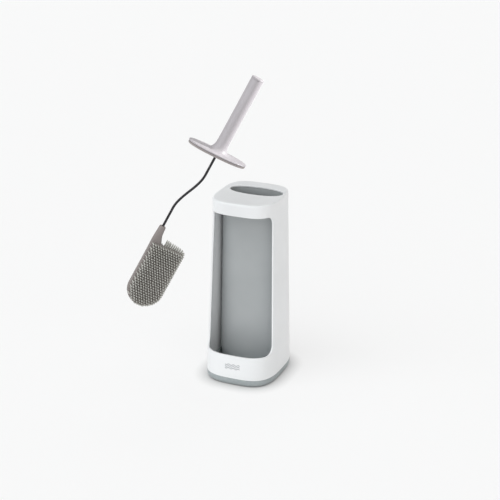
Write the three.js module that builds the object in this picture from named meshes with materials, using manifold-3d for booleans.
// Toilet brush and its stand. A white outer sleeve stands over a grey brush well and leaves an open
// bay in front of the well for a bottle of cleaner. The brush has a round handle on an oval lid, a
// bent steel wire and a flexible paddle head, and is drawn clear of the stand, leaning in the hand.
// Millimetres, +Z up, the stand's open front faces -Y. The origin is on the floor, under the centre
// of the stand's foot.
import * as THREE from 'three';
import { mergeVertices } from 'three/addons/utils/BufferGeometryUtils.js';
import Module from 'manifold-3d';

const wasm = await Module();
wasm.setup();

// Stand: outer form
const HEIGHT = 320;
const FOOT_HALF_WIDTH = 63;
const FOOT_HALF_DEPTH = 72.5;
const FOOT_POWER = 3.25; // 2 is an ellipse, larger is squarer
const TOP_HALF_WIDTH = 56;
const TOP_HALF_DEPTH = 60;
const TOP_POWER = 3.5;
const TOP_SET_BACK = 8.5; // the front leans back more than the rear
const FLARE_START = 22; // the walls taper evenly between these heights
const FLARE_END = 300;
const MIDDLE_LEVELS = [70, 110, 155, 200, 250];
const TOP_ROUND = 3.5;
const SLEEVE_WALL = 2.6;
const GAP = 0.3; // left between pieces that touch

// Stand: openings
const SLOT_HALF_LENGTH = 47;
const SLOT_HALF_WIDTH = 20;
const OVAL_POWER = 2.3;
const SLOT_AT = [4, 24]; // x and y of its middle, towards the rear right
const WINDOW_BOTTOM = 54;
const WINDOW_TOP = 298.5;
const WINDOW_BACK = -24; // the window wraps round both front corners to here, at its top
const WINDOW_LEAN = 14; // and its edge comes forward with the taper
const WINDOW_LOWER_RADIUS = 16;
const WINDOW_UPPER_RADIUS = 14;

// Stand: base. An inset is measured in from the stand's outline
const BAND_TOP = 13;
const BAND_PROFILE = [[1, 3.2], [4.5, 0.8], [7, 0.1], [BAND_TOP, 0]]; // height, inset
const TRAY_UNDERSIDE = 8;
const TRAY_FLOOR = 11;
const TRAY_POCKET_INSET = 4.5;
const BAY_PAD_TOP = 12; // raised flat pad in front of the well, which a bottle stands on
const BAY_PAD_INSET = 8;
const BAY_PAD_BACK = -14;
const RIM_TOP = 24;
const RIM_OUTER_INSET = 3;
const RIM_INNER_INSET = 4.7; // at its top; it leans in by the draft towards the floor
const RIM_DRAFT = 0.3;
const COVER_BOTTOM = 1.6;
const COVER_TOP = 4;
const COVER_INSET = 5;
const BALLAST_TOP = 7.7;
const BALLAST_INSET = 12;
const MAT_THICKNESS = 1.3;
const MAT_HALF_WIDTH = 48;
const MAT_HALF_DEPTH = 57;
const MAT_POWER = 2.2;

// Stand: screws
const COVER_SCREW_X = 42;
const COVER_SCREW_Y = 49;
const COVER_SCREW_TIP = 9;
const COVER_SCREW_HEAD = { radius: 3.6, height: 0.9 };
const TUB_SCREW_X = 30;
const TUB_SCREW_TIP = 17;
const TUB_SCREW_HEAD = { radius: 3.4, height: 1.2 };
const SHANK_RADIUS = 1.2;
const DRIVE_SLOT_WIDTH = 0.9;
const DRIVE_SLOT_DEPTH = 0.55;
const POST_RADIUS = 4.5;
const PILOT_RADIUS = 1.5; // threaded hole in a post
const CLEAR_RADIUS = 1.8; // hole that a shank passes through
const HEAD_CLEARANCE = 0.5;
const SCREW_HOLE_SIDES = 16;

// Stand: brush well
const TUB_FRONT = -11;
const TUB_POWER = 2.9;
const TUB_WALL = 2;
const TUB_FLOOR = 2.5;
const TUB_TOP = 314.5;
const TUB_CLEARANCE = 3.2; // between the stand's outline and the well
const TUB_FOOT_CLEARANCE = 5.3; // larger at the foot, inside the tray's rim
const TUB_FOOT_TOP = 28;
const TUB_LEVELS = [TUB_FOOT_TOP - 0.1, 30, ...MIDDLE_LEVELS, FLARE_END];
const TUB_SCREW_Y = 26;
const TUB_POST_TOP = 20;
const COLLAR_DEPTH = 21;
const COLLAR_WALL = 1.8;
const COLLAR_SET_BACK = 0.5; // of its mouth behind the slot's edge

// Brush, in its own axes: +Z up the handle from the lid's underside, +X across the paddle
const HELD_AT = [0, -129, 427];
const HELD_TURN = 34; // degrees about the vertical
const HELD_TILT = 29; // degrees from the vertical
const HANDLE_RADIUS = 10;
const HANDLE_TOP = 137;
const HANDLE_WAIST = { z: 60, radius: 9.7 };
const FLARE_RADIUS = 19; // where the grip spreads into the lid
const FLARE_HEIGHT = 15;
const CAP_HEIGHT = 3.2;
const CAP_PLUG = 10;
const BORE_RADIUS = 5.5;
const SOCKET_OVERLAP = 12; // the socket runs on past the wire's end
const LID_HALF_LENGTH = 50.5;
const LID_HALF_WIDTH = 23.5;
const LID_TOP = 6.4;
const LID_ROUND = 1;
const SEAL_TOP = 3.2;
const SEAL_INSET = 1.2;
const WIRE_RADIUS = 2;
const WIRE_TOP = 50;
const WIRE_BOTTOM = -158;
const WIRE_OFFSET = -21;
const BEND_START = -36;
const BEND_END = -106;
const NECK_TOP = -139;
const NECK_RINGS = [ // half width, half thickness, power, x and height, from the bottom
  [8.2, 5, 2.4, -19.6, -163.5],
  [6.8, 5.4, 2.2, -20.8, -155],
  [5.8, 5.6, 2, WIRE_OFFSET, -146],
  [5.6, 5.6, 2, WIRE_OFFSET, NECK_TOP - 0.8],
  [4.9, 4.9, 2, WIRE_OFFSET, NECK_TOP],
];
const PADDLE_TOP = -168.5;
const PADDLE_BOTTOM = -274;
const PADDLE_LEFT = -27;
const PADDLE_RIGHT = 30.5;
const PADDLE_HALF_THICKNESS = 4;
const PADDLE_CORNER = 4;
const BRISTLE_LENGTH = 9;
const RIM_BRISTLE_LENGTH = 5;
const CROWN_BRISTLE_LENGTH = 7; // along the top edge
const SPINE_WIDTH = 4; // the straight edge that has no bristles
const CROWN_START = -6.5; // x where the crown begins, clear of the neck

const RING_POINTS = 52;

const WHITE = { color: 0xeeeff0, roughness: 0.38, metalness: 0 };
const GREY = { color: 0x9aa6a8, roughness: 0.55, metalness: 0 };
const STEEL = { color: 0x8d9094, roughness: 0.3, metalness: 1 };
const WIRE_STEEL = { color: 0x4a4b4e, roughness: 0.22, metalness: 1 };
const MAT_RUBBER = { color: 0x3a3c3e, roughness: 0.9, metalness: 0 };
const HEAD_RUBBER = { color: 0x77746f, roughness: 0.7, metalness: 0 };
const BRISTLE_RUBBER = { color: 0x8a8883, roughness: 0.65, metalness: 0 };

// --- Solids -----------------------------------------------------------------------------------

function toSolid(geometry) {
  const bare = geometry.clone();
  for (const name of Object.keys(bare.attributes)) {
    if (name !== 'position') bare.deleteAttribute(name);
  }
  const merged = mergeVertices(bare, 1e-4);
  return new wasm.Manifold(new wasm.Mesh({
    numProp: 3,
    vertProperties: new Float32Array(merged.attributes.position.array),
    triVerts: new Uint32Array(merged.index.array),
  }));
}

function toGeometry(solid) {
  const mesh = solid.getMesh();
  const geometry = new THREE.BufferGeometry();
  geometry.setAttribute('position', new THREE.BufferAttribute(mesh.vertProperties, 3));
  geometry.setIndex(new THREE.BufferAttribute(mesh.triVerts, 1));
  return geometry;
}

// A closed solid through rings of equal point count, listed from bottom to top
function loft(rings) {
  const count = rings[0].length;
  const points = rings.flat();
  const index = [];
  for (let row = 0; row < rings.length - 1; row += 1) {
    for (let i = 0; i < count; i += 1) {
      const a = row * count + i;
      const b = row * count + (i + 1) % count;
      index.push(a, b, b + count, a, b + count, a + count);
    }
  }
  const last = (rings.length - 1) * count;
  const bottom = points.push(middle(rings[0])) - 1;
  const top = points.push(middle(rings[rings.length - 1])) - 1;
  for (let i = 0; i < count; i += 1) {
    const next = (i + 1) % count;
    index.push(bottom, next, i, top, last + i, last + next);
  }
  const geometry = new THREE.BufferGeometry().setFromPoints(points);
  geometry.setIndex(index);
  return toSolid(geometry);
}

function middle(ring) {
  const sum = new THREE.Vector3();
  for (const point of ring) sum.add(point);
  return sum.divideScalar(ring.length);
}

// One level ring of a rounded oval: power 2 is an ellipse, larger powers are squarer
function ovalRing(halfX, halfY, power, x, y, z, count = RING_POINTS) {
  const ring = [];
  for (let i = 0; i < count; i += 1) {
    const angle = (2 * Math.PI * (i + 0.5)) / count;
    const c = Math.cos(angle);
    const s = Math.sin(angle);
    ring.push(new THREE.Vector3(
      x + halfX * Math.sign(c) * Math.abs(c) ** (2 / power),
      y + halfY * Math.sign(s) * Math.abs(s) ** (2 / power),
      z,
    ));
  }
  return ring;
}

function ovalPlate(halfX, halfY, power, [x, y], bottom, top) {
  return loft([bottom, top].map((z) => ovalRing(halfX, halfY, power, x, y, z)));
}

function rod(radius, bottom, top, x = 0, y = 0, sides = 24) {
  const geometry = new THREE.CylinderGeometry(radius, radius, top - bottom, sides);
  geometry.rotateX(Math.PI / 2);
  geometry.translate(x, y, (bottom + top) / 2);
  return toSolid(geometry);
}

// A flat shape drawn in X and Z, given a thickness from y = front to y = back
function slab(shape, front, back) {
  const geometry = new THREE.ExtrudeGeometry(shape, {
    depth: back - front, bevelEnabled: false, curveSegments: 12,
  });
  geometry.rotateX(Math.PI / 2);
  geometry.translate(0, back, 0);
  return toSolid(geometry);
}

function addMesh(group, name, solid, finish) {
  const mesh = new THREE.Mesh(toGeometry(solid), new THREE.MeshStandardMaterial(finish));
  mesh.name = name;
  group.add(mesh);
}

// --- The stand's outline ----------------------------------------------------------------------

// 0 at the foot, 1 at the top
function taper(z) {
  return THREE.MathUtils.clamp(THREE.MathUtils.inverseLerp(FLARE_START, FLARE_END, z), 0, 1);
}

function standAt(z) {
  const t = taper(z);
  return {
    halfX: THREE.MathUtils.lerp(FOOT_HALF_WIDTH, TOP_HALF_WIDTH, t),
    halfY: THREE.MathUtils.lerp(FOOT_HALF_DEPTH, TOP_HALF_DEPTH, t),
    power: THREE.MathUtils.lerp(FOOT_POWER, TOP_POWER, t),
    y: TOP_SET_BACK * t,
  };
}

function standRing(z, inset) {
  const form = standAt(z);
  return ovalRing(form.halfX - inset, form.halfY - inset, form.power, 0, form.y, z);
}

function standPlate(inset, bottom, top) {
  return loft([bottom, top].map((z) => standRing(z, inset)));
}

function wallLevels(bottom, top) {
  return [bottom, FLARE_START, ...MIDDLE_LEVELS, FLARE_END, top];
}

// --- Stand pieces -----------------------------------------------------------------------------

function makeSleeve() {
  const outer = wallLevels(BAND_TOP + GAP, HEIGHT - TOP_ROUND).map((z) => standRing(z, 0));
  for (let step = 1; step <= 3; step += 1) {
    const angle = (step * Math.PI) / 6;
    outer.push(standRing(HEIGHT - TOP_ROUND * (1 - Math.sin(angle)), TOP_ROUND * (1 - Math.cos(angle))));
  }
  const inner = wallLevels(BAND_TOP - 1, HEIGHT - SLEEVE_WALL).map((z) => standRing(z, SLEEVE_WALL));
  const slot = ovalPlate(SLOT_HALF_LENGTH, SLOT_HALF_WIDTH, OVAL_POWER, SLOT_AT, HEIGHT - 10, HEIGHT + 1);
  return loft(outer).subtract(loft(inner)).subtract(slot).subtract(makeWindow());
}

// How far the window's edge stands forward of its line where a corner rounds it off
function windowCorner(z) {
  const low = Math.max(WINDOW_BOTTOM + WINDOW_LOWER_RADIUS - z, 0);
  const high = Math.max(z - WINDOW_TOP + WINDOW_UPPER_RADIUS, 0);
  return WINDOW_LOWER_RADIUS - Math.sqrt(WINDOW_LOWER_RADIUS ** 2 - low ** 2)
    + WINDOW_UPPER_RADIUS - Math.sqrt(WINDOW_UPPER_RADIUS ** 2 - high ** 2);
}

function windowEdge(z) {
  return WINDOW_BACK - WINDOW_LEAN * (1 - taper(z)) - windowCorner(z);
}

// The bay's window, drawn from the side and cut right across the stand
function makeWindow() {
  const front = -FOOT_HALF_DEPTH - 20;
  const levels = [WINDOW_BOTTOM];
  for (const angle of [22, 45, 67, 90].map(THREE.MathUtils.degToRad)) {
    levels.push(WINDOW_BOTTOM + WINDOW_LOWER_RADIUS * (1 - Math.cos(angle)));
  }
  for (const angle of [90, 67, 45, 22, 0].map(THREE.MathUtils.degToRad)) {
    levels.push(WINDOW_TOP - WINDOW_UPPER_RADIUS * (1 - Math.cos(angle)));
  }
  const shape = new THREE.Shape();
  shape.moveTo(front, WINDOW_BOTTOM);
  for (const z of levels) shape.lineTo(windowEdge(z), z);
  shape.lineTo(front, WINDOW_TOP);
  const width = 2 * FOOT_HALF_WIDTH + 40;
  const geometry = new THREE.ExtrudeGeometry(shape, { depth: width, bevelEnabled: false });
  geometry.translate(0, 0, -width / 2);
  geometry.applyMatrix4(new THREE.Matrix4().makeBasis(
    new THREE.Vector3(0, 1, 0), new THREE.Vector3(0, 0, 1), new THREE.Vector3(1, 0, 0),
  ));
  return toSolid(geometry);
}

// The well is an oval tube that keeps clear of the sleeve's sides and back
function tubClearance(z) {
  return z < TUB_FOOT_TOP ? TUB_FOOT_CLEARANCE : TUB_CLEARANCE;
}

function tubRing(z, wall) {
  const form = standAt(z);
  const clearance = tubClearance(z);
  const rear = form.y + form.halfY - clearance;
  const halfY = (rear - TUB_FRONT) / 2;
  return ovalRing(form.halfX - clearance - wall, halfY - wall, TUB_POWER, 0, TUB_FRONT + halfY, z);
}

function tubSolid(levels, wall) {
  const oval = loft(levels.map((z) => tubRing(z, wall)));
  return oval.intersect(loft(levels.map((z) => standRing(z, tubClearance(z) + wall))));
}

function makeTub() {
  const bottom = TRAY_FLOOR + GAP;
  const outer = tubSolid([bottom, ...TUB_LEVELS, TUB_TOP], 0);
  let tub = outer.subtract(tubSolid([bottom + TUB_FLOOR, ...TUB_LEVELS, TUB_TOP + 1], TUB_WALL));
  for (const x of [-TUB_SCREW_X, TUB_SCREW_X]) {
    tub = tub.add(rod(POST_RADIUS, bottom, TUB_POST_TOP, x, TUB_SCREW_Y));
    const depth = TUB_SCREW_TIP + 1;
    tub = tub.subtract(rod(PILOT_RADIUS, bottom - 1, depth, x, TUB_SCREW_Y, SCREW_HOLE_SIDES));
  }
  return tub;
}

// Closes the well's top and guides the head in, with an oval neck under the sleeve's slot. The neck
// stays inside the well's wall, which passes close by the slot's right end
function makeCollar() {
  const top = HEIGHT - SLEEVE_WALL - GAP;
  const bottom = top - COLLAR_DEPTH;
  const flange = tubSolid([TUB_TOP + GAP, top], 0);
  const bore = [SLOT_HALF_LENGTH + COLLAR_SET_BACK, SLOT_HALF_WIDTH + COLLAR_SET_BACK];
  const outside = bore.map((half) => half + COLLAR_WALL);
  const clear = TUB_WALL + GAP;
  const neck = ovalPlate(...outside, OVAL_POWER, SLOT_AT, bottom, top)
    .intersect(tubSolid([bottom, top], clear));
  const mouth = ovalPlate(...bore, OVAL_POWER, SLOT_AT, bottom - 1, top + 1)
    .intersect(tubSolid([bottom - 1, top + 1], clear + COLLAR_WALL));
  return flange.add(neck).subtract(mouth);
}

function coverScrewSpots() {
  const spots = [];
  for (const y of [-COVER_SCREW_Y, COVER_SCREW_Y]) {
    for (const x of [-COVER_SCREW_X, COVER_SCREW_X]) spots.push([x, y]);
  }
  return spots;
}

// Visible foot band, floor under the well and bay, and a rim that the sleeve fits over
function makeTray() {
  const band = loft(BAND_PROFILE.map(([z, inset]) => standRing(z, inset)));
  const rim = standPlate(RIM_OUTER_INSET, TRAY_FLOOR, RIM_TOP);
  const well = loft([
    standRing(TRAY_FLOOR, RIM_INNER_INSET + RIM_DRAFT), standRing(RIM_TOP + 1, RIM_INNER_INSET),
  ]);
  const behind = new THREE.BoxGeometry(200, 200, 20).translate(0, BAY_PAD_BACK + 100, BAY_PAD_TOP);
  const pad = standPlate(BAY_PAD_INSET, TRAY_FLOOR - 1, BAY_PAD_TOP).subtract(toSolid(behind));
  let tray = band.add(rim).subtract(well).subtract(standPlate(TRAY_POCKET_INSET, 0, TRAY_UNDERSIDE));
  tray = tray.add(pad);
  const holeTop = COVER_SCREW_TIP + 0.6;
  for (const [x, y] of coverScrewSpots()) {
    tray = tray.add(rod(POST_RADIUS, COVER_TOP + GAP, TRAY_FLOOR - 0.5, x, y));
    tray = tray.subtract(rod(PILOT_RADIUS, COVER_TOP, holeTop, x, y, SCREW_HOLE_SIDES));
  }
  const recess = TUB_SCREW_HEAD.radius + HEAD_CLEARANCE;
  const recessTop = TRAY_UNDERSIDE + TUB_SCREW_HEAD.height + GAP;
  for (const x of [-TUB_SCREW_X, TUB_SCREW_X]) {
    tray = tray.subtract(rod(recess, TRAY_UNDERSIDE - 1, recessTop, x, TUB_SCREW_Y));
    tray = tray.subtract(
      rod(CLEAR_RADIUS, TRAY_UNDERSIDE, TRAY_FLOOR + 1, x, TUB_SCREW_Y, SCREW_HOLE_SIDES),
    );
  }
  return tray;
}

function makeCover() {
  let cover = standPlate(COVER_INSET, COVER_BOTTOM, COVER_TOP);
  const recess = COVER_SCREW_HEAD.radius + HEAD_CLEARANCE;
  const recessTop = COVER_BOTTOM + COVER_SCREW_HEAD.height + GAP;
  for (const [x, y] of coverScrewSpots()) {
    cover = cover.subtract(rod(recess, COVER_BOTTOM - 1, recessTop, x, y));
    cover = cover.subtract(rod(CLEAR_RADIUS, COVER_BOTTOM, COVER_TOP + 1, x, y, SCREW_HOLE_SIDES));
  }
  return cover;
}

function makeBallast() {
  const ballast = standPlate(BALLAST_INSET, COVER_TOP + GAP, BALLAST_TOP);
  return coverScrewSpots().reduce((plate, [x, y]) => (
    plate.subtract(rod(POST_RADIUS + 2 * GAP, COVER_TOP, BALLAST_TOP + 1, x, y))
  ), ballast);
}

function makeScrew(x, y, bottom, { radius, height }, tip) {
  const head = rod(radius, bottom, bottom + height, x, y);
  const shank = rod(SHANK_RADIUS, bottom + height - GAP, tip, x, y, SCREW_HOLE_SIDES);
  const slot = new THREE.BoxGeometry(radius * 1.3, DRIVE_SLOT_WIDTH, 2 * DRIVE_SLOT_DEPTH);
  return head.add(shank).subtract(toSolid(slot.translate(x, y, bottom)));
}

// --- Brush pieces, in the brush's own axes ----------------------------------------------------

function lathe(profile) {
  const points = profile.map(([radius, z]) => new THREE.Vector2(radius, z));
  const geometry = new THREE.LatheGeometry(points, 32);
  geometry.rotateX(Math.PI / 2);
  return toSolid(geometry);
}

function lidRing(inset, z) {
  return ovalRing(LID_HALF_LENGTH - inset, LID_HALF_WIDTH - inset, OVAL_POWER, 0, 0, z);
}

// Grip and oval lid in one moulding, with a bore for the wire's socket
function makeHandle() {
  const top = HANDLE_TOP - CAP_HEIGHT - GAP;
  const inLid = SEAL_TOP + 1.5;
  const foot = LID_TOP + 2 * GAP;
  const grip = [[0, inLid], [FLARE_RADIUS, inLid], [FLARE_RADIUS, foot]];
  for (let step = 1; step <= 5; step += 1) {
    const angle = (step * Math.PI) / 10;
    const radius = FLARE_RADIUS - (FLARE_RADIUS - HANDLE_RADIUS) * Math.sin(angle);
    grip.push([radius, foot + FLARE_HEIGHT * (1 - Math.cos(angle))]);
  }
  grip.push([HANDLE_WAIST.radius, HANDLE_WAIST.z], [HANDLE_RADIUS, top], [0, top]);
  const bottom = SEAL_TOP + GAP;
  const lid = loft([
    lidRing(LID_ROUND, bottom), lidRing(0, bottom + LID_ROUND),
    lidRing(0, LID_TOP - LID_ROUND), lidRing(LID_ROUND, LID_TOP),
  ]);
  return lathe(grip).add(lid).subtract(rod(BORE_RADIUS, 0, top + 1));
}

function makeEndCap() {
  const bottom = HANDLE_TOP - CAP_HEIGHT;
  const plug = BORE_RADIUS - GAP;
  return lathe([
    [0, bottom - CAP_PLUG], [plug, bottom - CAP_PLUG], [plug, bottom],
    [HANDLE_RADIUS, bottom], [HANDLE_RADIUS, HANDLE_TOP - 1.4], [HANDLE_RADIUS - 0.5, HANDLE_TOP - 0.4],
    [HANDLE_RADIUS - 1.5, HANDLE_TOP], [0, HANDLE_TOP],
  ]);
}

function makeSeal() {
  const oval = loft([lidRing(SEAL_INSET, 0), lidRing(SEAL_INSET, SEAL_TOP)]);
  return oval.subtract(rod(WIRE_RADIUS + GAP, -1, SEAL_TOP + 1));
}

function makeSocket() {
  const body = rod(BORE_RADIUS - GAP, SEAL_TOP + GAP, WIRE_TOP + SOCKET_OVERLAP);
  return body.subtract(rod(WIRE_RADIUS + GAP, 0, WIRE_TOP + 1));
}

// The wire's centre line: straight, one smooth step sideways, straight again
class WireLine extends THREE.Curve {
  getPoint(t, target = new THREE.Vector3()) {
    const z = THREE.MathUtils.lerp(WIRE_TOP, WIRE_BOTTOM, t);
    const x = WIRE_OFFSET * THREE.MathUtils.smoothstep(-z, -BEND_START, -BEND_END);
    return target.set(x, 0, z);
  }
}

function makeWire() {
  const section = new THREE.Shape().absarc(0, 0, WIRE_RADIUS, 0, 2 * Math.PI);
  return toSolid(new THREE.ExtrudeGeometry(section, {
    steps: 44, extrudePath: new WireLine(), curveSegments: 6, bevelEnabled: false,
  }));
}

// Rubber neck moulded on the wire's end; the head flexes just under it
function makeNeck() {
  const neck = loft(NECK_RINGS.map(([halfX, halfY, power, x, z]) => (
    ovalRing(halfX, halfY, power, x, 0, z, 24)
  )));
  return neck.subtract(rod(WIRE_RADIUS + GAP, WIRE_BOTTOM - 1, NECK_TOP + 1, WIRE_OFFSET));
}

// Paddle outline: straight sides, a flat top with a round corner and a half-round end
function paddleShape(left, right, top, bottom, corner) {
  const radius = (right - left) / 2;
  const shape = new THREE.Shape();
  shape.moveTo(left, top);
  shape.lineTo(left, bottom + radius);
  shape.absarc(left + radius, bottom + radius, radius, Math.PI, 2 * Math.PI);
  shape.absarc(right - corner, top - corner, corner, 0, Math.PI / 2);
  return shape;
}

function makeCore() {
  const shape = paddleShape(PADDLE_LEFT, PADDLE_RIGHT, PADDLE_TOP, PADDLE_BOTTOM, PADDLE_CORNER);
  return slab(shape, -PADDLE_HALF_THICKNESS, PADDLE_HALF_THICKNESS);
}

// The space that the bristles on one face fill
function makeBristleField(side) {
  const left = PADDLE_LEFT + SPINE_WIDTH;
  const shape = paddleShape(left, PADDLE_RIGHT, PADDLE_TOP, PADDLE_BOTTOM + 1.5, PADDLE_CORNER);
  const near = side * (PADDLE_HALF_THICKNESS + GAP);
  const far = side * (PADDLE_HALF_THICKNESS + BRISTLE_LENGTH);
  return slab(shape, Math.min(near, far), Math.max(near, far));
}

// The space of the bristles that stand out round the paddle's top, right edge and end
function makeBristleRim() {
  const reach = RIM_BRISTLE_LENGTH;
  const outer = paddleShape(PADDLE_LEFT, PADDLE_RIGHT + reach, PADDLE_TOP + CROWN_BRISTLE_LENGTH,
    PADDLE_BOTTOM - reach, PADDLE_CORNER + 2);
  const inner = paddleShape(PADDLE_LEFT - GAP, PADDLE_RIGHT + GAP, PADDLE_TOP + GAP,
    PADDLE_BOTTOM - GAP, PADDLE_CORNER);
  const thickness = PADDLE_HALF_THICKNESS;
  const band = slab(outer, -thickness, thickness).subtract(slab(inner, -thickness - 1, thickness + 1));
  const spineSide = new THREE.BoxGeometry(30, 30, 120)
    .translate(CROWN_START - 15, 0, PADDLE_TOP - 30);
  const lowLeft = new THREE.BoxGeometry(20, 30, 60).translate(PADDLE_LEFT, 0, PADDLE_BOTTOM + 20);
  return band.subtract(toSolid(spineSide)).subtract(toSolid(lowLeft));
}

// --- Assembly ---------------------------------------------------------------------------------

const assembly = new THREE.Group();
addMesh(assembly, 'sleeve', makeSleeve(), WHITE);
addMesh(assembly, 'inner_tub', makeTub(), GREY);
addMesh(assembly, 'mouth_collar', makeCollar(), GREY);
addMesh(assembly, 'base_tray', makeTray(), GREY);
addMesh(assembly, 'bottom_cover', makeCover(), GREY);
addMesh(assembly, 'ballast_plate', makeBallast(), STEEL);
const mat = ovalPlate(MAT_HALF_WIDTH, MAT_HALF_DEPTH, MAT_POWER, [0, 0], 0, MAT_THICKNESS);
addMesh(assembly, 'floor_mat', mat, MAT_RUBBER);
coverScrewSpots().forEach(([x, y], i) => {
  const screw = makeScrew(x, y, COVER_BOTTOM, COVER_SCREW_HEAD, COVER_SCREW_TIP);
  addMesh(assembly, `cover_screw_${i + 1}`, screw, STEEL);
});
[-TUB_SCREW_X, TUB_SCREW_X].forEach((x, i) => {
  const screw = makeScrew(x, TUB_SCREW_Y, TRAY_UNDERSIDE, TUB_SCREW_HEAD, TUB_SCREW_TIP);
  addMesh(assembly, `tub_screw_${i + 1}`, screw, STEEL);
});

const brush = new THREE.Group();
brush.position.set(...HELD_AT);
brush.rotation.set(0, THREE.MathUtils.degToRad(HELD_TILT), THREE.MathUtils.degToRad(HELD_TURN), 'ZYX');
assembly.add(brush);
addMesh(brush, 'handle', makeHandle(), WHITE);
addMesh(brush, 'handle_end_cap', makeEndCap(), WHITE);
addMesh(brush, 'lid_seal', makeSeal(), GREY);
addMesh(brush, 'wire_socket', makeSocket(), GREY);
addMesh(brush, 'wire', makeWire(), WIRE_STEEL);
addMesh(brush, 'head_neck', makeNeck(), HEAD_RUBBER);
addMesh(brush, 'head_core', makeCore(), HEAD_RUBBER);
addMesh(brush, 'bristles_front', makeBristleField(-1), BRISTLE_RUBBER);
addMesh(brush, 'bristles_back', makeBristleField(1), BRISTLE_RUBBER);
addMesh(brush, 'bristles_rim', makeBristleRim(), BRISTLE_RUBBER);

export default assembly;
